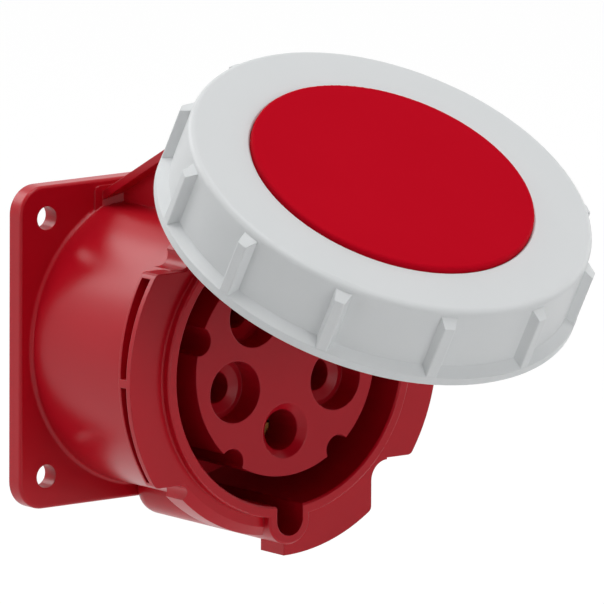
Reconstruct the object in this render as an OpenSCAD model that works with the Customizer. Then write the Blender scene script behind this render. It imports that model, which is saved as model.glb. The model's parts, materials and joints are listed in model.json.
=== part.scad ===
// Straight panel socket, five poles, 32 A, with a hinged lid and a bayonet locking ring.
// Millimetres. Z is up and the front faces -Y. The origin is the centre of the flange's back face.
// Pieces are drawn looking at the front, with X right, Y up and the depth "d" forward, then stood upright.
// The lid and the ring are drawn closed, then swung about the hinge pin by lid_open.

/* [Flange] */
// How far the square flange stands out beyond the body
flange_margin = 3.1; // [2.6:0.1:8]
// Thickness of the flange
flange_t = 4.2; // [3.4:0.2:6]
// Corner radius of the flange
flange_corner_r = 6.5; // [3:0.5:8]
// Distance from the flange's edge to the centre of a fixing hole
hole_edge = 7.5; // [6.5:0.1:9]
// Diameter of the fixing holes
hole_d = 5.5; // [4:0.1:6]

/* [Body] */
// Radius of the mouth
mouth_r = 32.3; // [31:0.1:40]
// Thickness of the body's wall round the mouth
body_wall = 2.1; // [1.6:0.1:3]
// Distance from the flange's back to the front of the collar
collar_depth = 56.8; // [50:0.2:72]
// Width of the collar's end face
rim_w = 2.6; // [2:0.1:3.4]
// How far the collar's end face stands in front of the wings
rim_proud = 2.3; // [1.5:0.1:3]
// Depth of the space for the plug's shroud, from the collar's front
shroud_depth = 40.3; // [34:0.1:41]

/* [Bayonet wings] */
// Height of the band above the body
band_step = 5.1; // [4.4:0.1:6.2]
// Depth of the band behind the wings' front
band_t = 8.6; // [7.5:0.1:10.4]
// Reach of the wings beyond the band
wing_reach = 4.6; // [3.8:0.1:5.6]
// Half angle of a wing, from the middle to its level end
wing_half_angle = 33.9; // [28:0.1:38]
// Thickness of a wing at mid height
wing_t = 4.3; // [3.6:0.1:5.2]
// Slope of the ramp on the back of a wing, in degrees
ramp_angle = 2.35; // [0:0.05:3]

/* [Keyway] */
// Width of the keyway
key_w = 7.4; // [6.1:0.1:9]
// Depth of the keyway outside the mouth
key_depth = 6.8; // [5.6:0.1:7.4]
// Thickness of the wall round the keyway
key_wall = 2.1; // [1.7:0.1:2.6]

/* [Insert and contacts] */
// Gap for the plug's shroud, between the insert and the mouth
shroud_gap = 6.75; // [5.6:0.05:7]
// How far the insert stands back from the collar's front
insert_set_back = 2; // [1:0.1:4]
// Radius of the circle that the contacts lie on
pitch_r = 15.1; // [14.6:0.1:15.6]
// Diameter of a line or neutral pin
line_pin_d = 6; // [5:0.1:6.4]
// Diameter of the earth pin
earth_pin_d = 8; // [6.6:0.1:9.6]
// Width of the ledge round a line contact's hole, in its recess
recess_ledge = 3.4; // [2.6:0.1:3.6]
// Depth of the recess round a line contact
line_recess_depth = 6.7; // [5:0.1:8]
// Radius of the notches in the insert's rim
notch_r = 3.3; // [2.5:0.1:4]

/* [Hinge] */
// Height of the hinge pin above the wings' outer edge
hinge_rise = 5.2; // [4.6:0.1:7]
// Gap between the hinge's knuckle and the ring's back edge
hinge_gap = 4.7; // [3.8:0.1:5.5]
// Radius of the hinge pin
pin_r = 1.5; // [1.2:0.1:1.8]
// Width of the hinge bracket
bracket_w = 28.8; // [26:0.2:34.6]
// Width of the lid's hinge arm
arm_w = 17; // [14:0.5:18.5]
// Angle that the lid is swung open
lid_open = 60; // [0:5:110]

/* [Lid and ring] */
// Width of the ring's face round the lid's disc
ring_face_w = 14.3; // [12:0.1:17]
// How far the disc stands out of the ring
disc_proud = 1.3; // [0.8:0.1:2]
// Thickness of the ring's wall
ring_wall_t = 2.1; // [1.8:0.1:3]
// Height of the ring
ring_h = 19.3; // [18.2:0.1:21]
// Number of grip ribs
rib_count = 12; // [8:1:16]
// Width of a rib at its outer face
rib_w = 2.8; // [2:0.1:4]
// How far the ribs and the rear rim stand out of the ring's wall
rib_reach = 2.5; // [1.8:0.1:3.4]
// Thickness of the lid's gasket
gasket_t = 2.4; // [1.8:0.1:3]

/* [Hidden] */
$fn = 96;
eps = 0.01;
through = 200;
housing_red = "#b01722";
ring_grey = "#d5d8da";
brass = "#b08d3f";
steel = "#b4b6b8";
rubber_black = "#222222";

// clearances
pin_fit = 0.06;
press_gap = 0.02;
screw_gap = 0.03;
slide_gap = 0.1;
side_gap = 0.4;
seal_gap = 0.15;
lock_gap = 0.6;
seat_gap = 0.3;

// body
body_r = mouth_r + body_wall;
rim_r = mouth_r + rim_w;
flange_w = 2 * (body_r + flange_margin);
hole_pitch = flange_w - 2 * hole_edge;
band_r = body_r + band_step;
band_chamfer = 2.3;
band_front_r = band_r - band_chamfer + 0.1;
wing_r = band_r + wing_reach;
wing_half_h = wing_r * sin(wing_half_angle);
wing_front = collar_depth - rim_proud;
band_back = wing_front - band_t;
wing_corner_r = 1.6;
root_fillet = 1;
flange_fillet = 0.76;
rim_fillet = 0.45;
shelf_front = collar_depth - shroud_depth;
shelf_t = 5.5;
shelf_back = shelf_front - shelf_t;
pocket_wall = 3;
pocket_r = body_r - pocket_wall;
slot_front_lip = 1.45;
slot_back_lip = 0.75;
slot_end_wall = 1.2;
slot_bridge = 1.9;
slot_depth = 3.2;

// keyway
key_bottom = mouth_r + key_depth;
key_r = key_w / 2;
key_centre = key_bottom - key_r;
key_outer_r = key_r + key_wall;
ridge_back = 9;
lug_angle = 34.85;
lug_right = wing_r * sin(lug_angle);
notch_corner_r = 4.5;
notch_corner = [lug_right + notch_corner_r, -(wing_half_h + 0.4 + notch_corner_r)];
dip_r = 2.6;
dip_h = wing_half_h + 2.8;
dip_centre = [sqrt(pow(band_r, 2) - pow(dip_h, 2)) + 1.15, dip_h];

// insert
insert_r = mouth_r - shroud_gap;
insert_front = collar_depth - insert_set_back;
insert_gap = 0.35;
edge_round = 0.4;
base_t = 3.2;
seal_t = 0.8;
base_front = shelf_back - seal_t;
base_back = base_front - base_t;
base_r = pocket_r - seat_gap;
insert_screw_r = 1.25;
insert_screw_ring_r = base_r - 2;
insert_screw_angles = [30, 150, 270];
// contact places, as angles from +X seen from the front: earth at the bottom
pe_angle = -90;
line_angles = [-162, 126, 54, -18];

// contacts: slotted sleeves in front, screw terminals behind
sleeve_wall = 1.15;
line_bore_r = line_pin_d / 2 + 0.05;
earth_bore_r = earth_pin_d / 2 + 0.05;
guide_gap = 0.7;
guide_draft = 0.1;
line_recess_r = line_pin_d / 2 + guide_gap + recess_ledge;
recess_cone = 2.2;
earth_chamfer = 1.7;
line_sleeve_front = insert_front - 16.5;
earth_sleeve_front = insert_front - 12.2;
sleeve_bore_back = insert_front - 40.2;
bore_chamfer = 0.6;
slit_len = 14;
slit_w = 0.8;
collar_len = 11;
ring_t = 0.5;
ring_len = 3.5;
ring_slit = 1.2;
contact_step = 0.75;
terminal_back = -13;
terminal_screw_r = 1.9;
terminal_screw_d = terminal_back + 6;
terminal_screw_out = 1.2;
wire_step = 0.25;
wire_depth = 13;

// terminal carrier
carrier_r = insert_r - 1.05;
carrier_lip = 1.5;
carrier_lip_t = 3;
carrier_back = terminal_back - 2.5;
carrier_screw_r = 1.25;
carrier_screw_x = 6.5;
carrier_screw_sink = 12;
carrier_screw_bite = 7;
driver_r = 2.6;

// seals
flange_seal_t = 1.5;
flange_seal_w = 2.4;
groove_gap = 0.1;

// lid, closed
gasket_in_r = mouth_r - 1.3;
gasket_out_r = key_bottom + key_wall + 0.4;
gasket_front = collar_depth + seal_gap;
plate_back = gasket_front + gasket_t;
locating_wall = 1.5;
locating_depth = 1.8;
plate_t = 2.65;
plate_front = plate_back + plate_t;
ring_face_back = plate_front + 0.2;
ring_face_t = 2.6;
ring_front = ring_face_back + ring_face_t;
disc_front = ring_front + disc_proud;
disc_wall = 2.7;
disc_round = 0.8;

// ring
ring_gap = 1.7;
ring_in_r = wing_r + ring_gap;
ring_r = ring_in_r + ring_wall_t;
ring_rim_in_r = ring_in_r + 0.8;
ring_rim_r = ring_r + rib_reach;
ring_back = ring_front - ring_h;
ring_round = 1.5;
ring_rim_h = 2.2;
ring_cone_h = 3.9;
rib_angle = 13.3;
rib_root = 0.8;
rib_top = ring_front - 1.9;
rib_slope = 2.4;
disc_r = ring_r - ring_face_w;
plate_r = ring_in_r - 1.2;
bayonet_in_r = band_r + 1.5;
bayonet_front = wing_front - wing_t - lock_gap;
bayonet_half_angle = 9;
bayonet_angles = [53, 233];
snap_angles = [-30, -110, 170];
snap_half_angle = 6;
snap_reach = 2.2;
snap_t = 1.1;

// hinge
knuckle_r = 3.2;
hinge_z = wing_r + hinge_rise;
hinge_d = ring_back - hinge_gap - knuckle_r;
arm_z = gasket_out_r + seat_gap;
arm_t = plate_r - arm_z;
strip_t = 1.8;
strip_foot = [flange_t, body_r + 0.2];
// the strip's top runs from its foot, touching the knuckle
strip_angle = atan2(hinge_z - strip_foot[1], hinge_d - strip_foot[0])
    + asin(knuckle_r / norm([hinge_z - strip_foot[1], hinge_d - strip_foot[0]]));
web_t = 2;
web_lean = 0.8;
web_outer = arm_w / 2 + side_gap + web_t + 0.1;
ear_w = bracket_w / 2 - arm_w / 2 - side_gap;
ear_back = 12;
gusset = 3.9;
pad_side = 2.1;
pad_t = 0.4;
pad_r = 1.4;

module upright() rotate([90, 0, 0]) children();

module swung_open()
    translate([0, -hinge_d, hinge_z])
        rotate([-lid_open, 0, 0])
            translate([0, hinge_d, -hinge_z])
                upright() children();

// Turns a profile drawn as [d, height] into a plate of width w across X
module across(w)
    translate([-w / 2, 0, 0])
        rotate([90, 0, 90])
            rotate([0, 0, 90])
                mirror([0, 1, 0])
                    linear_extrude(w) children();

module ring_cut(r_in, r_out, d0, d1)
    translate([0, 0, d0])
        difference() {
            cylinder(r = r_out, h = d1 - d0);
            translate([0, 0, -1]) cylinder(r = r_in, h = d1 - d0 + 2);
        }

// Flat wedge from the axis, half_angle each side of angle
module sector(angle, half_angle, r, d0, d1)
    translate([0, 0, d0])
        rotate([0, 0, angle])
            linear_extrude(d1 - d0)
                polygon([[0, 0], [r, -r * tan(half_angle)], [r, r * tan(half_angle)]]);

module at_contact(angle)
    translate([pitch_r * cos(angle), pitch_r * sin(angle), 0]) children();

// ---------- housing ----------

// Plate section across its width, with its two front corners rounded
module rounded_section(w, t, f) {
    translate([-w / 2, 0]) square([w, t - f]);
    translate([-w / 2 + f, 0]) square([w - 2 * f, t]);
    for (s = [-1, 1])
        translate([s * (w / 2 - f), t - f]) circle(r = f);
}

module soft_plate(w, t, r, f) {
    for (a = [0, 90])
        rotate([0, 0, a])
            translate([0, w / 2 - r, 0])
                rotate([90, 0, 0])
                    linear_extrude(w - 2 * r) rounded_section(w, t, f);
    for (x = [-1, 1], y = [-1, 1])
        translate([x * (w / 2 - r), y * (w / 2 - r), 0])
            rotate_extrude() {
                square([r, t - f]);
                square([r - f, t]);
                translate([r - f, t - f]) circle(r = f);
            }
}

// Fills the inner corner at p, towards +X and +Y, with a fillet
module fillet_corner(p, f)
    translate([p[0] - eps, p[1] - eps])
        difference() {
            square(f);
            translate([f, f]) circle(r = f);
        }

module body_profile() {
    polygon([
        [0, 0], [body_r, 0], [body_r, band_back], [band_r, band_back],
        [band_r, wing_front - band_chamfer], [band_front_r, wing_front],
        [rim_r, wing_front], [rim_r, collar_depth - rim_fillet], [rim_r - rim_fillet, collar_depth],
        [0, collar_depth]
    ]);
    translate([rim_r - rim_fillet, collar_depth - rim_fillet]) circle(r = rim_fillet);
    fillet_corner([body_r, flange_t], root_fillet);
    fillet_corner([rim_r, wing_front], rim_fillet);
}

// The space on the +X side in front of a wing's ramp, shifted forward by shift
module before_ramp(shift)
    translate([0, 0, wing_front - wing_t + shift])
        rotate([ramp_angle, 0, 0])
            translate([0, -through / 2, 0]) cube([through / 2, through, through / 2]);

// What is cut off to round the corner between the outer circle and the line y = h
module corner_cut(h) {
    f = wing_corner_r;
    x = sqrt(pow(wing_r - f, 2) - pow(h - f, 2));
    touch = [x, h - f] * wing_r / (wing_r - f);
    difference() {
        polygon([[x, h - f], [x, h + 1], [wing_r + 1, h + 1], touch * 1.1, touch]);
        translate([x, h - f]) circle(r = f);
    }
}

// One wing on the +X side, its ramp thin at the top and thick at the bottom
module wing() {
    intersection() {
        translate([0, 0, band_back])
            linear_extrude(wing_front - band_back)
                difference() {
                    intersection() {
                        circle(r = wing_r);
                        translate([mouth_r * 0.7, -wing_half_h]) square([wing_r, 2 * wing_half_h]);
                    }
                    circle(r = body_r - 1);
                    for (s = [0, 1]) mirror([0, s]) corner_cut(wing_half_h);
                }
        before_ramp(0);
    }
}

// Two slots that lighten a wing's outer side, with a bridge between them
module wing_slots() {
    slot_h = wing_half_h - slot_end_wall - slot_bridge / 2;
    intersection() {
        ring_cut(wing_r - slot_depth, wing_r + 1, band_back, wing_front - slot_front_lip);
        before_ramp(slot_back_lip);
        for (s = [0, 1])
            mirror([0, s, 0]) translate([0, slot_bridge / 2, 0]) cube([through, slot_h, through]);
    }
}

// Lug under the keyway, from the axis line to its right end
module bottom_lug()
    translate([0, 0, band_back])
        linear_extrude(band_t)
            difference() {
                intersection() {
                    circle(r = wing_r);
                    translate([0, -wing_r]) square([lug_right, wing_r - mouth_r * 0.6]);
                }
                circle(r = body_r - 1);
                rotate([0, 0, -90]) corner_cut(lug_right);
            }

// Fills the corner between the lug and the right wing before its round cut
module gap_web()
    translate([lug_right - notch_corner_r, notch_corner[1], wing_front - wing_t])
        cube([2 * notch_corner_r, 2 * notch_corner_r, wing_t]);

// Rounded gap between the bottom lug and the right wing
module gap_cut() {
    r = notch_corner_r;
    translate([notch_corner[0], notch_corner[1], band_back - 1]) {
        cylinder(r = r, h = band_t + 2);
        translate([0, -20, 0]) cube([20, 20 + r, band_t + 2]);
        translate([-r, -20, 0]) cube([20, 20, band_t + 2]);
    }
}

// Dip between a left wing end and the band, on side s
module end_dip(s)
    translate([-dip_centre[0], s * dip_centre[1], band_back - 1]) {
        cylinder(r = dip_r, h = band_t + 2);
        translate([-4, -dip_r, 0]) cube([4, 2 * dip_r, band_t + 2]);
    }

module keyway_ridge() {
    translate([0, -key_centre, 0]) {
        translate([0, 0, ridge_back]) {
            cylinder(r = key_outer_r, h = collar_depth - ridge_back - rim_fillet);
            translate([0, 0, collar_depth - ridge_back - rim_fillet])
                cylinder(r1 = key_outer_r, r2 = key_outer_r - rim_fillet, h = rim_fillet);
            translate([-key_outer_r, 0, 0])
                cube([2 * key_outer_r, 12, collar_depth - ridge_back - rim_fillet]);
        }
        intersection() {
            translate([0, 0, ridge_back]) sphere(r = key_outer_r);
            translate([-15, -15, 0]) cube([30, 30, ridge_back]);
        }
    }
}

module keyway_slot()
    translate([0, -key_centre, shelf_front]) {
        cylinder(r = key_r, h = through);
        translate([-key_r, 0, 0]) cube([key_w, 12, through]);
    }

// Side outline of the bracket's slanting strip, from inside the flange to d
module strip_profile(d_end) {
    slope = tan(strip_angle);
    drop = strip_t / cos(strip_angle);
    z0 = strip_foot[1] - (strip_foot[0] - 0.5) * slope;
    z1 = strip_foot[1] + (d_end - strip_foot[0]) * slope;
    polygon([[0.5, z0], [d_end, z1], [d_end, z1 - drop], [0.5, z0 - drop]]);
}

// Everything under the strip's middle line, down into the body, as far forward as d_end
module under_strip_profile(d_end) {
    slope = tan(strip_angle);
    z0 = strip_foot[1] - 1 - (strip_foot[0] - 0.5) * slope;
    z1 = strip_foot[1] - 1 + (d_end - strip_foot[0]) * slope;
    polygon([[0.5, mouth_r - 5], [d_end, mouth_r - 5], [d_end, z1], [0.5, z0]]);
}

// Cross-section of one web: upright beside the body, leaning in above it
module web_section() {
    top = hinge_z + knuckle_r;
    polygon([
        [web_outer - web_t, mouth_r - 6], [web_outer, mouth_r - 6], [web_outer, body_r + 0.2],
        [web_outer - web_lean, top], [web_outer - web_lean - web_t, top], [web_outer - web_t,
            body_r + 0.2]
    ]);
}

module ear_profile() {
    touch = [hinge_d - knuckle_r * sin(strip_angle), hinge_z + knuckle_r * cos(strip_angle)];
    back = touch - ear_back * [cos(strip_angle), sin(strip_angle)];
    polygon([
        touch, back, back - [0, strip_t / cos(strip_angle)],
        [hinge_d, hinge_z - knuckle_r], [hinge_d, hinge_z]
    ]);
    translate([hinge_d, hinge_z]) circle(r = knuckle_r);
}

module hinge_bracket() {
    web_front = hinge_d - knuckle_r - side_gap;
    across(bracket_w) strip_profile(web_front);
    for (s = [-1, 1])
        translate([s * (bracket_w - ear_w) / 2, 0, 0]) across(ear_w) ear_profile();
    // webs under the strip
    for (s = [0, 1])
        mirror([s, 0, 0])
            intersection() {
                across(bracket_w) under_strip_profile(web_front);
                linear_extrude(through) web_section();
            }
    // gussets in the corners of flange, webs and body
    intersection() {
        across(bracket_w + 2 * pad_side) under_strip_profile(web_front);
        translate([0, hinge_z, 0])
            rotate([90, 0, 0])
                linear_extrude(hinge_z - mouth_r + 6)
                    for (s = [0, 1])
                        mirror([s, 0])
                            polygon([
                                [web_outer - 1, flange_t - 1], [web_outer + gusset, flange_t - 1],
                                [web_outer + gusset, flange_t], [web_outer, flange_t + gusset],
                                [web_outer - 1, flange_t + gusset]
                            ]);
    }
    // raised pad on the flange round the strip's foot
    pad_w = bracket_w + 2 * pad_side;
    pad_h = 2 * pad_r + 4;
    translate([0, strip_foot[1] + 1.45 - pad_h / 2, 0])
        linear_extrude(flange_t + pad_t) {
            square([pad_w - 2 * pad_r, pad_h], center = true);
            square([pad_w, pad_h - 2 * pad_r], center = true);
            for (x = [-1, 1], y = [-1, 1])
                translate([x * (pad_w / 2 - pad_r), y * (pad_h / 2 - pad_r)]) circle(r = pad_r);
        }
}

module mouth_profile()
    polygon([
        [0, shelf_front], [mouth_r, shelf_front], [mouth_r, collar_depth - rim_fillet],
        [mouth_r + rim_fillet, collar_depth + eps], [mouth_r + rim_fillet, through], [0, through]
    ]);

module housing() color(housing_red) upright()
    difference() {
        union() {
            soft_plate(flange_w, flange_t, flange_corner_r, flange_fillet);
            difference() {
                union() {
                    rotate_extrude() body_profile();
                    wing();
                    rotate([0, 0, 180]) wing();
                    bottom_lug();
                    gap_web();
                }
                wing_slots();
                rotate([0, 0, 180]) wing_slots();
                gap_cut();
                for (s = [-1, 1]) end_dip(s);
            }
            keyway_ridge();
            hinge_bracket();
        }
        // mouth, shelf opening and rear pocket
        rotate_extrude() mouth_profile();
        translate([0, 0, -1]) cylinder(r = insert_r + insert_gap, h = through);
        translate([0, 0, -1]) cylinder(r = pocket_r, h = shelf_back + 1);
        keyway_slot();
        // fixing holes, screw holes, seal groove and pin hole
        for (x = [-1, 1], y = [-1, 1])
            translate([x * hole_pitch / 2, y * hole_pitch / 2, -1])
                cylinder(d = hole_d, h = flange_t + 2);
        for (a = insert_screw_angles)
            rotate([0, 0, a]) translate([insert_screw_ring_r, 0, -1])
                cylinder(r = insert_screw_r, h = shelf_back + shelf_t);
        ring_cut(body_r - flange_seal_w / 2, body_r + flange_seal_w / 2 + 2 * groove_gap, -1,
            flange_seal_t);
        translate([0, hinge_z, hinge_d]) rotate([0, 90, 0])
            cylinder(r = pin_r + press_gap, h = bracket_w + 2, center = true);
    }

// ---------- insert ----------

function sleeve_r(bore_r) = bore_r + sleeve_wall;
function contact_hole_r(bore_r) = sleeve_r(bore_r) + contact_step + slide_gap;

// Hole for a line contact: wide recess with a conical floor, guide hole, then the room for the sleeve
module line_cavity() {
    hole_r = contact_hole_r(line_bore_r);
    floor_d = insert_front - line_recess_depth;
    guide_r = line_pin_d / 2 + guide_gap;
    rotate_extrude()
        polygon([
            [0, -1], [hole_r, -1], [hole_r, line_sleeve_front + seat_gap],
            [guide_r - guide_draft, line_sleeve_front + seat_gap],
            [guide_r, floor_d - 1], [guide_r + recess_cone, floor_d], [line_recess_r, floor_d],
            [line_recess_r, insert_front + 1], [0, insert_front + 1]
        ]);
}

module earth_cavity() {
    hole_r = contact_hole_r(earth_bore_r);
    guide_r = earth_pin_d / 2 + guide_gap;
    rotate_extrude()
        polygon([
            [0, -1], [hole_r, -1], [hole_r, earth_sleeve_front + seat_gap],
            [guide_r - guide_draft, earth_sleeve_front + seat_gap],
            [guide_r, insert_front - earth_chamfer], [guide_r + earth_chamfer, insert_front + eps],
            [guide_r + earth_chamfer, insert_front + 1], [0, insert_front + 1]
        ]);
}

module insert_profile()
    polygon([
        [0, base_back], [base_r, base_back], [base_r, base_front], [insert_r, base_front],
        [insert_r, insert_front], [0, insert_front]
    ]);

module contact_insert() color("#a81f26") upright()
    difference() {
        rotate_extrude() insert_profile();
        for (a = line_angles) at_contact(a) line_cavity();
        at_contact(pe_angle) earth_cavity();
        for (k = [0 : 4])
            rotate([0, 0, 90 + 72 * k])
                translate([insert_r + edge_round, 0, shelf_front + 0.5])
                    cylinder(r = notch_r, h = through);
        for (a = insert_screw_angles)
            rotate([0, 0, a]) translate([insert_screw_ring_r, 0, -1])
                cylinder(r = insert_screw_r + 0.2, h = base_front + 2);
        for (s = [-1, 1])
            translate([s * carrier_screw_x, 0, base_back - 1])
                cylinder(r = carrier_screw_r, h = carrier_screw_bite + 2);
    }

// ---------- contacts ----------

// Places what is drawn on a contact's axis, with its X axis pointing away from the socket's axis
module contact_place(angle) upright() at_contact(angle) rotate([0, 0, angle]) children();

// One turned contact on its own axis: slotted sleeve, collar in the insert, terminal with its tapped hole
module contact(bore_r, front)
    difference() {
        union() {
            translate([0, 0, base_back]) cylinder(r = sleeve_r(bore_r), h = front - base_back);
            translate([0, 0, terminal_back])
                cylinder(r = sleeve_r(bore_r) + contact_step,
                    h = base_back + collar_len - terminal_back);
        }
        translate([0, 0, sleeve_bore_back]) cylinder(r = bore_r, h = front - sleeve_bore_back + 1);
        translate([0, 0, front - bore_chamfer])
            cylinder(r1 = bore_r, r2 = bore_r + bore_chamfer + eps, h = bore_chamfer + eps);
        for (a = [0, 90])
            rotate([0, 0, a])
                translate([-through / 2, -slit_w / 2, front - slit_len])
                    cube([through, slit_w, slit_len + 1]);
        translate([0, 0, terminal_back - 1]) cylinder(r = bore_r - wire_step, h = wire_depth + 1);
        translate([0, 0, terminal_screw_d]) rotate([0, 90, 0]) cylinder(r = terminal_screw_r, h = 20);
    }

module contact_l1() color(brass) contact_place(line_angles[0]) contact(line_bore_r, line_sleeve_front);
module contact_l2() color(brass) contact_place(line_angles[1]) contact(line_bore_r, line_sleeve_front);
module contact_l3() color(brass) contact_place(line_angles[2]) contact(line_bore_r, line_sleeve_front);
module contact_n() color(brass) contact_place(line_angles[3]) contact(line_bore_r, line_sleeve_front);
module contact_pe() color(brass) contact_place(pe_angle) contact(earth_bore_r, earth_sleeve_front);

// Split ring that squeezes a sleeve's fingers
module spring_ring(bore_r, front) {
    r = sleeve_r(bore_r) + 0.05;
    difference() {
        ring_cut(r, r + ring_t, front - 1.5 - ring_len, front - 1.5);
        rotate([0, 0, 45]) translate([0, -ring_slit / 2, 0]) cube([20, ring_slit, through]);
    }
}

module line_spring_rings() color(steel)
    for (a = line_angles) contact_place(a) spring_ring(line_bore_r, line_sleeve_front);

module pe_spring_ring() color(steel) contact_place(pe_angle)
    spring_ring(earth_bore_r, earth_sleeve_front);

module terminal_screw(bore_r) {
    tip = bore_r - wire_step + 0.15;
    reach = sleeve_r(bore_r) + contact_step + terminal_screw_out;
    translate([0, 0, terminal_screw_d])
        rotate([0, 90, 0])
            difference() {
                translate([0, 0, tip]) cylinder(r = terminal_screw_r - screw_gap, h = reach - tip);
                translate([-0.4, -5, reach - 1.1]) cube([0.8, 10, 2]);
            }
}

module line_terminal_screws() color(steel)
    for (a = line_angles) contact_place(a) terminal_screw(line_bore_r);

module pe_terminal_screw() color(steel) contact_place(pe_angle) terminal_screw(earth_bore_r);

// ---------- terminal carrier ----------

// Room for a terminal: its body, the wire's way in and the screwdriver's way in
module carrier_pocket(bore_r) {
    translate([0, 0, terminal_back]) cylinder(r = contact_hole_r(bore_r), h = through);
    translate([0, 0, carrier_back - 1]) cylinder(r = bore_r + 0.3, h = through);
    translate([0, 0, terminal_screw_d]) rotate([0, 90, 0]) cylinder(r = driver_r, h = 20);
}

module carrier_profile() {
    f = edge_round;
    r = carrier_r - carrier_lip;
    polygon([
        [0, carrier_back], [r - f, carrier_back], [r, carrier_back + f], [r, base_back - carrier_lip_t],
        [carrier_r, base_back - carrier_lip_t], [carrier_r, base_back], [0, base_back]
    ]);
}

module terminal_carrier() color("#8c1a20") upright()
    difference() {
        rotate_extrude() carrier_profile();
        for (a = line_angles) at_contact(a) rotate([0, 0, a]) carrier_pocket(line_bore_r);
        at_contact(pe_angle) rotate([0, 0, pe_angle]) carrier_pocket(earth_bore_r);
        for (s = [-1, 1])
            translate([s * carrier_screw_x, 0, carrier_back - 1]) {
                cylinder(r = carrier_screw_r + 0.2, h = through);
                cylinder(r = 2.5, h = 1 + carrier_screw_sink);
            }
    }

// Cross-slotted screw along +d, its head resting at d = 0
module screw(shank_r, shank_len, head_r, head_t)
    difference() {
        union() {
            cylinder(r = shank_r, h = shank_len);
            translate([0, 0, -head_t]) cylinder(r = head_r, h = head_t);
        }
        for (a = [0, 90])
            rotate([0, 0, a])
                translate([-head_r * 0.62, -0.3, -head_t - 1])
                    cube([head_r * 1.24, 0.6, 1 + head_t * 0.5]);
    }

module carrier_screws() color(steel) upright()
    for (s = [-1, 1])
        translate([s * carrier_screw_x, 0, carrier_back + carrier_screw_sink])
            screw(carrier_screw_r - screw_gap,
                base_back - carrier_back - carrier_screw_sink + carrier_screw_bite,
                  2.3, 1.6);

module insert_screws() color(steel) upright()
    for (a = insert_screw_angles)
        rotate([0, 0, a]) translate([insert_screw_ring_r, 0, base_back])
            screw(insert_screw_r - screw_gap, base_t + seal_t + 3.8, 1.9, 1.5);

// ---------- seals ----------

module insert_seal() color(rubber_black) upright()
    ring_cut(insert_r + 0.5, insert_screw_ring_r - insert_screw_r - seat_gap, base_front, shelf_back);

module flange_seal() color(rubber_black) upright()
    ring_cut(body_r - flange_seal_w / 2 + groove_gap, body_r + flange_seal_w / 2 + groove_gap, 0,
        flange_seal_t);

// ---------- lid ----------

module lid_profile() {
    inner_r = gasket_in_r - slide_gap;
    outer_r = gasket_out_r + slide_gap;
    locating_back = plate_back - locating_depth;
    polygon([
        [0, disc_front - disc_wall], [inner_r - locating_wall, disc_front - disc_wall],
        [inner_r - locating_wall, locating_back], [inner_r, locating_back], [inner_r, plate_back],
        [outer_r, plate_back], [outer_r, locating_back],
        [outer_r + locating_wall, locating_back], [outer_r + locating_wall, plate_back],
        [plate_r, plate_back], [plate_r, plate_front], [disc_r, plate_front],
        [disc_r, disc_front - disc_round], [disc_r - disc_round, disc_front], [0, disc_front]
    ]);
    translate([disc_r - disc_round, disc_front - disc_round]) circle(r = disc_round);
}

module arm_profile()
    difference() {
        union() {
            polygon([
                [hinge_d, hinge_z - knuckle_r], [hinge_d + 3, arm_z], [plate_back + 0.5, arm_z],
                [plate_back + 0.5, arm_z + arm_t], [hinge_d + 8, arm_z + arm_t],
                [hinge_d + knuckle_r * 0.7, hinge_z + knuckle_r * 0.7]
            ]);
            translate([hinge_d, hinge_z]) circle(r = knuckle_r);
        }
        translate([hinge_d, hinge_z]) circle(r = pin_r + pin_fit);
    }

module lid_cap() color(housing_red) swung_open() {
    rotate_extrude() lid_profile();
    across(arm_w) arm_profile();
}

module lid_gasket() color(rubber_black) swung_open()
    ring_cut(gasket_in_r, gasket_out_r, gasket_front, plate_back);

// ---------- bayonet ring ----------

module ring_profile() {
    f = ring_round;
    g = edge_round;
    polygon([
        [ring_rim_in_r, ring_back], [ring_rim_r - g, ring_back], [ring_rim_r, ring_back + g],
        [ring_rim_r, ring_back + ring_rim_h], [ring_r, ring_back + ring_cone_h],
        [ring_r, ring_front - f], [ring_r - f, ring_front], [disc_r + slide_gap + g, ring_front],
        [disc_r + slide_gap, ring_front - g], [disc_r + slide_gap, ring_face_back],
        [ring_in_r, ring_face_back], [ring_in_r, ring_back + ring_cone_h + 1.5],
        [ring_rim_in_r, ring_back + ring_cone_h + 0.6]
    ]);
    translate([ring_r - f, ring_front - f]) circle(r = f);
}

// Grip ribs with drafted sides and rounded outer edges; a cone trims their tops
module grip_ribs() {
    outer = ring_rim_r - 0.1;
    f = edge_round;
    difference() {
        for (k = [0 : rib_count - 1])
            rotate([0, 0, rib_angle + k * 360 / rib_count])
                translate([0, 0, ring_back + edge_round])
                    linear_extrude(rib_top - ring_back - edge_round) {
                        polygon([
                            [ring_r - 0.8, -rib_w / 2 - rib_root], [outer - f, -rib_w / 2],
                            [outer, f - rib_w / 2], [outer, rib_w / 2 - f],
                            [outer - f, rib_w / 2], [ring_r - 0.8, rib_w / 2 + rib_root]
                        ]);
                        for (s = [-1, 1]) translate([outer - f, s * (rib_w / 2 - f)]) circle(r = f);
                    }
        rotate_extrude()
            polygon([
                [ring_r, rib_top + eps], [ring_rim_r + 1, rib_top - rib_slope],
                [ring_rim_r + 1, rib_top + 1], [ring_r, rib_top + 1]
            ]);
    }
}

module inner_lugs(angles, half_angle, r_in, d0, d1)
    for (a = angles)
        intersection() {
            ring_cut(r_in, ring_rim_in_r + 0.3, d0, d1);
            sector(a, half_angle, 60, d0 - 1, d1 + 1);
        }

module bayonet_ring() color(ring_grey) swung_open() {
    rotate_extrude() ring_profile();
    grip_ribs();
    inner_lugs(bayonet_angles, bayonet_half_angle, bayonet_in_r, ring_back, bayonet_front);
    inner_lugs(snap_angles, snap_half_angle, ring_in_r - snap_reach, plate_back - seat_gap - snap_t,
        plate_back - seat_gap);
}

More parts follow.
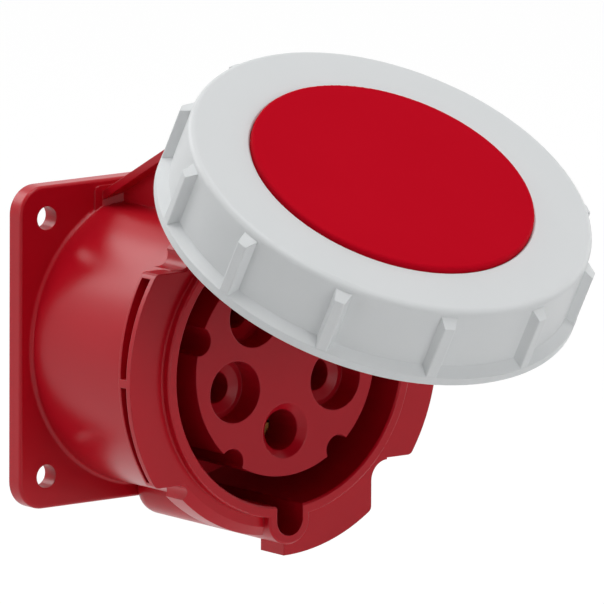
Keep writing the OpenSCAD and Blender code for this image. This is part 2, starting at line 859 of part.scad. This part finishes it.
module hinge_pin() color(steel) upright()
    translate([0, hinge_z, hinge_d]) rotate([0, 90, 0])
        cylinder(r = pin_r, h = bracket_w - 0.6, center = true);

housing();
contact_insert();
terminal_carrier();
contact_l1();
contact_l2();
contact_l3();
contact_n();
contact_pe();
line_spring_rings();
pe_spring_ring();
line_terminal_screws();
pe_terminal_screw();
carrier_screws();
insert_screws();
insert_seal();
flange_seal();
lid_cap();
lid_gasket();
bayonet_ring();
hinge_pin();
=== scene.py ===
import json
import math

import bpy
from mathutils import Matrix, Vector


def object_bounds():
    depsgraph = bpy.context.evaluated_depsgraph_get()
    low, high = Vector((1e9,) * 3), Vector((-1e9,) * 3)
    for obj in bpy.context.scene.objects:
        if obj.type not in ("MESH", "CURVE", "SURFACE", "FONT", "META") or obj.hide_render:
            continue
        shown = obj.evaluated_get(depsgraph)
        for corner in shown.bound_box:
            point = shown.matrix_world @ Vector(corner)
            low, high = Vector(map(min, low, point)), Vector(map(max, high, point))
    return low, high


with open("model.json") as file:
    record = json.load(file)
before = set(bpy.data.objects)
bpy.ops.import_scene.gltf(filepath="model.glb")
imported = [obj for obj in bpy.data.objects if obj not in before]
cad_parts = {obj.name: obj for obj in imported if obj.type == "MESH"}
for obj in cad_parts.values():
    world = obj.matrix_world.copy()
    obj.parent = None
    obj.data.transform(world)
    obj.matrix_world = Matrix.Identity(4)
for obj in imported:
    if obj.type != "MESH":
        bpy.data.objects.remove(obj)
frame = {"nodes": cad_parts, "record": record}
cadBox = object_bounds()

nodes = frame["nodes"]
mm = 0.001
print("frame loaded:", len(nodes), "nodes")


# sRGB hex to linear
def linear(hexColour):
    out = []
    for k in (1, 3, 5):
        v = int(hexColour[k:k + 2], 16) / 255
        out.append(v / 12.92 if v <= 0.04045 else ((v + 0.055) / 1.055) ** 2.4)
    return (*out, 1.0)


def addNode(tree, kind, settings=None, links=None):
    node = tree.nodes.new(kind)
    for name, value in (settings or {}).items():
        if isinstance(name, str) and hasattr(node, name):
            setattr(node, name, value)
        else:
            node.inputs[name].default_value = value
    for socket, source in (links or {}).items():
        tree.links.new(source, node.inputs[socket])
    return node


def newMaterial(name):
    material = bpy.data.materials.new(name)
    material.use_nodes = True
    material.node_tree.nodes.clear()
    return material, material.node_tree


# Two near shades mixed by a noise, and a roughness that follows the same noise
def cloudyFinish(tree, look, vector, size):
    clouds = addNode(tree, "ShaderNodeTexNoise", {"Scale": 1 / size, "Detail": look["cloudDetail"]},
                     {"Vector": vector})
    shade = addNode(tree, "ShaderNodeMix",
                    {"data_type": "RGBA", 6: linear(look["colour"]), 7: linear(look["colourDeep"])},
                    {0: clouds.outputs["Fac"]})
    rough = addNode(tree, "ShaderNodeMapRange",
                    {"To Min": look["roughness"] - look["roughSpread"],
                     "To Max": look["roughness"] + look["roughSpread"]},
                    {"Value": clouds.outputs["Fac"]})
    return shade.outputs[2], rough.outputs[0]


def mouldedPlastic(name, look):
    material, tree = newMaterial(name)
    place = addNode(tree, "ShaderNodeTexCoord").outputs["Object"]
    colour, rough = cloudyFinish(tree, look, place, look["flowSize"])  # the melt's flow, hardly seen
    grain = addNode(tree, "ShaderNodeTexNoise", {"Scale": 1 / look["grainSize"],
                    "Detail": look["grainDetail"]},
                    {"Vector": place})  # the spark-eroded mould's grain
    edge = addNode(tree, "ShaderNodeBevel", {"samples": look["edgeSamples"], "Radius": look["edgeRadius"]})
    bump = addNode(tree, "ShaderNodeBump",
                   {"Strength": look["grainStrength"], "Distance": look["grainDepth"]},
                   {"Height": grain.outputs["Fac"], "Normal": edge.outputs["Normal"]})
    shader = addNode(tree, "ShaderNodeBsdfPrincipled",
                     {"IOR": look["ior"], "Specular IOR Level": look["specular"]},
                     {"Base Color": colour, "Roughness": rough, "Normal": bump.outputs[0]})
    addNode(tree, "ShaderNodeOutputMaterial", None, {"Surface": shader.outputs[0]})
    return material


redLook = {"colour": "#b80b1f", "colourDeep": "#b2081b", "flowSize": 18 * mm, "cloudDetail": 2.0,
           "grainSize": 0.35 * mm, "grainDetail": 3.0, "grainStrength": 0.12, "grainDepth": 0.02 * mm,
           "roughness": 0.3, "roughSpread": 0.03, "ior": 1.5, "specular": 0.26,
           "edgeRadius": 0.3 * mm, "edgeSamples": 6}  # the edges are drawn soft, as a mould leaves them
insertLook = dict(redLook, colour="#ae0c1f", colourDeep="#a8091b",
                  edgeRadius=0.4 * mm, specular=0.22)
discLook = dict(redLook, colour="#bd061e", colourDeep="#ba051c", specular=0.02, roughness=0.6)
greyLook = dict(redLook, colour="#dadcdd", colourDeep="#d6d9da", roughness=0.38)
carrierLook = dict(redLook, colour="#7d0f18", colourDeep="#760d16", roughness=0.5)


def metal(name, look):
    material, tree = newMaterial(name)
    place = addNode(tree, "ShaderNodeTexCoord").outputs["Object"]
    drawn = addNode(tree, "ShaderNodeMapping", {"Scale": look["stretch"]}, {"Vector": place}).outputs[0]
    colour, rough = cloudyFinish(tree, look, drawn, look["markSize"])
    shader = addNode(tree, "ShaderNodeBsdfPrincipled", {"Metallic": 1.0},
                     {"Base Color": colour, "Roughness": rough})
    addNode(tree, "ShaderNodeOutputMaterial", None, {"Surface": shader.outputs[0]})
    return material


# stretched flat, so that the marks are rings across the lathe's axis
brassLook = {"colour": "#d2b06a", "colourDeep": "#b8934c", "markSize": 0.2 * mm, "cloudDetail": 4.0,
             "stretch": (0.02, 1, 0.02), "roughness": 0.3, "roughSpread": 0.06}
steelLook = {"colour": "#b9bcbe", "colourDeep": "#a2a6a8", "markSize": 0.5 * mm, "cloudDetail": 4.0,
             "stretch": (1, 1, 1), "roughness": 0.35, "roughSpread": 0.06}


def rubber(name, look):
    material, tree = newMaterial(name)
    place = addNode(tree, "ShaderNodeTexCoord").outputs["Object"]
    grain = addNode(tree, "ShaderNodeTexNoise", {"Scale": 1 / look["grainSize"],
                    "Detail": look["grainDetail"]},
                    {"Vector": place})
    bump = addNode(tree, "ShaderNodeBump", {"Strength": look["grainStrength"],
                   "Distance": look["grainDepth"]},
                   {"Height": grain.outputs["Fac"]})
    shader = addNode(tree, "ShaderNodeBsdfPrincipled",
                     {"Base Color": linear(look["colour"]), "Roughness": look["roughness"]},
                     {"Normal": bump.outputs[0]})
    addNode(tree, "ShaderNodeOutputMaterial", None, {"Surface": shader.outputs[0]})
    return material


rubberLook = {"colour": "#202122", "grainSize": 0.4 * mm, "grainDetail": 3.0, "grainStrength": 0.2,
              "grainDepth": 0.03 * mm, "roughness": 0.7}

redPlastic = mouldedPlastic("polyamide_moulded_red", redLook)  # deep red with a soft broad sheen
insertPlastic = mouldedPlastic("polyamide_moulded_deep_red", insertLook)  # a shade deeper, rounder edges
discPlastic = mouldedPlastic("polyamide_eroded_red", discLook)  # flat bright red, no sheen at all
greyPlastic = mouldedPlastic("polyamide_moulded_pale_grey", greyLook)  # cool near-white, satin
carrierPlastic = mouldedPlastic("polyamide_moulded_dark_red", carrierLook)  # dull dark red at the back
brassMetal = metal("brass_turned", brassLook)  # warm yellow with fine rings round each sleeve
steelMetal = metal("steel_zinc_plated", steelLook)  # cool bright grey, faintly cloudy
sealRubber = rubber("nitrile_rubber_moulded", rubberLook)  # near black, dry and matt

slotMaterial = {"red_moulding": redPlastic, "insert_moulding": insertPlastic,
                "carrier_moulding": carrierPlastic, "grey_moulding": greyPlastic,
                "contact_brass": brassMetal, "zinc_steel": steelMetal,
                "spring_steel": steelMetal, "seal_rubber": sealRubber}
for part in frame["record"]["subparts"]:
    node = nodes[part["node"]]
    node.data.materials.clear()
    node.data.materials.append(slotMaterial[part["material_slot"]])
nodes["lid_cap"].data.materials[0] = discPlastic
print("materials set")

shot = {"turn": 37.66, "rise": 10.0, "roll": 0.285, "pxPerMm": 4.348, "away": 4000.0,
        "aimRight": 37.21, "aimUp": 6.74, "pictureWidth": 604, "sensor": 36.0,
        "clipNear": 0.1, "clipFar": 50.0}


def placeCamera(s):
    turn, rise, roll = (math.radians(s[k]) for k in ("turn", "rise", "roll"))
    back = Vector((-math.sin(turn) * math.cos(rise), -math.cos(turn) * math.cos(rise), math.sin(rise)))
    side = Vector((math.cos(turn), -math.sin(turn), 0))
    up = back.cross(side)
    side, up = side * math.cos(roll) + up * math.sin(roll), up * math.cos(roll) - side * math.sin(roll)
    aim = side * s["aimRight"] + up * s["aimUp"]
    camera = bpy.data.objects.new("camera", bpy.data.cameras.new("camera"))
    camera.data.sensor_width = s["sensor"]
    camera.data.lens = s["pxPerMm"] * s["away"] * s["sensor"] / s["pictureWidth"]
    camera.data.clip_start, camera.data.clip_end = s["clipNear"], s["clipFar"]
    place = (aim + back * s["away"]) * mm
    camera.matrix_world = Matrix.Translation(place) @ Matrix((side, up, back)).transposed().to_4x4()
    bpy.context.scene.collection.objects.link(camera)
    bpy.context.scene.camera = camera


placeCamera(shot)

lamps = {
    "top": {"at": (-0.1, -0.2, 1.8), "size": 1.2, "watts": 18.0},
    "topFront": {"at": (-0.1, -1.2, 1.4), "size": 1.2, "watts": 5.8},
    "right": {"at": (1.6, -0.1, 0.4), "size": 1.2, "watts": 3.8},
    "backLeft": {"at": (-1.1, 1.0, 0.9), "size": 1.2, "watts": 2.8},
    "lowFront": {"at": (0.2, -1.8, -0.02), "size": 1.0, "watts": 9.5},
    "backTop": {"at": (-0.5, 1.5, 1.0), "size": 1.0, "watts": 10.1},
    "leftBack": {"at": (-1.6, 0.6, 0.15), "size": 1.0, "watts": 5.8},
}


lampAim = Vector((0, -0.05, 0.01))  # the middle of the collar


def addLamp(name, spec):
    light = bpy.data.lights.new(name, "AREA")
    light.shape, light.size, light.energy = "DISK", spec["size"], spec["watts"]
    lamp = bpy.data.objects.new(name, light)
    place = Vector(spec["at"])
    aim = lampAim - place
    lamp.matrix_world = Matrix.Translation(place) @ aim.to_track_quat("-Z", "Y").to_matrix().to_4x4()
    bpy.context.scene.collection.objects.link(lamp)


for lampName, lampSpec in lamps.items():
    addLamp(lampName, lampSpec)


# 1 where the camera, a reflection or clear material sees it, else 0
def seenDirectly(tree):
    path = addNode(tree, "ShaderNodeLightPath")
    first = addNode(tree, "ShaderNodeMath", {"operation": "MAXIMUM"},
                    {0: path.outputs["Is Camera Ray"], 1: path.outputs["Is Glossy Ray"]})
    return addNode(tree, "ShaderNodeMath", {"operation": "MAXIMUM"},
                   {0: first.outputs[0], 1: path.outputs["Is Transmission Ray"]}).outputs[0]


ambient = 0.1  # the room's own light, beside the lamps
world = bpy.data.worlds.new("studio")
bpy.context.scene.world = world
world.use_nodes = True
tree = world.node_tree
tree.nodes.clear()
dim = addNode(tree, "ShaderNodeBackground", {"Color": (1, 1, 1, 1), "Strength": ambient})
white = addNode(tree, "ShaderNodeBackground", {"Color": (1, 1, 1, 1), "Strength": 1.0})
mix = addNode(tree, "ShaderNodeMixShader", None,
              {0: seenDirectly(tree), 1: dim.outputs[0], 2: white.outputs[0]})
addNode(tree, "ShaderNodeOutputWorld", None, {"Surface": mix.outputs[0]})

# the glow makes it white to the eye, and the paint keeps the shadow
floorLook = {"drop": 0.12, "reach": 6.0, "paint": 0.8, "glow": 0.9, "glowStrength": 1.06}
floorLevel = cadBox[0][2] - floorLook["drop"]
mesh = bpy.data.meshes.new("floor")
mesh.from_pydata([(x * floorLook["reach"], y * floorLook["reach"], floorLevel)
                  for x, y in ((-1, -1), (1, -1), (1, 1), (-1, 1))], [], [(0, 1, 2, 3)])
floor = bpy.data.objects.new("floor", mesh)
bpy.context.scene.collection.objects.link(floor)
material, tree = newMaterial("studio_floor_painted_white")
paint = addNode(tree, "ShaderNodeBsdfDiffuse", {"Color": (*[floorLook["paint"]] * 3, 1)})
glow = addNode(tree, "ShaderNodeEmission", {"Color": (1, 1, 1, 1), "Strength": floorLook["glowStrength"]})
share = addNode(tree, "ShaderNodeMath", {"operation": "MULTIPLY", 1: floorLook["glow"]},
                {0: seenDirectly(tree)})
mix = addNode(tree, "ShaderNodeMixShader", None,
              {0: share.outputs[0], 1: paint.outputs[0], 2: glow.outputs[0]})
addNode(tree, "ShaderNodeOutputMaterial", None, {"Surface": mix.outputs[0]})
mesh.materials.append(material)

bpy.context.scene.view_settings.view_transform = "Standard"
print("studio built")
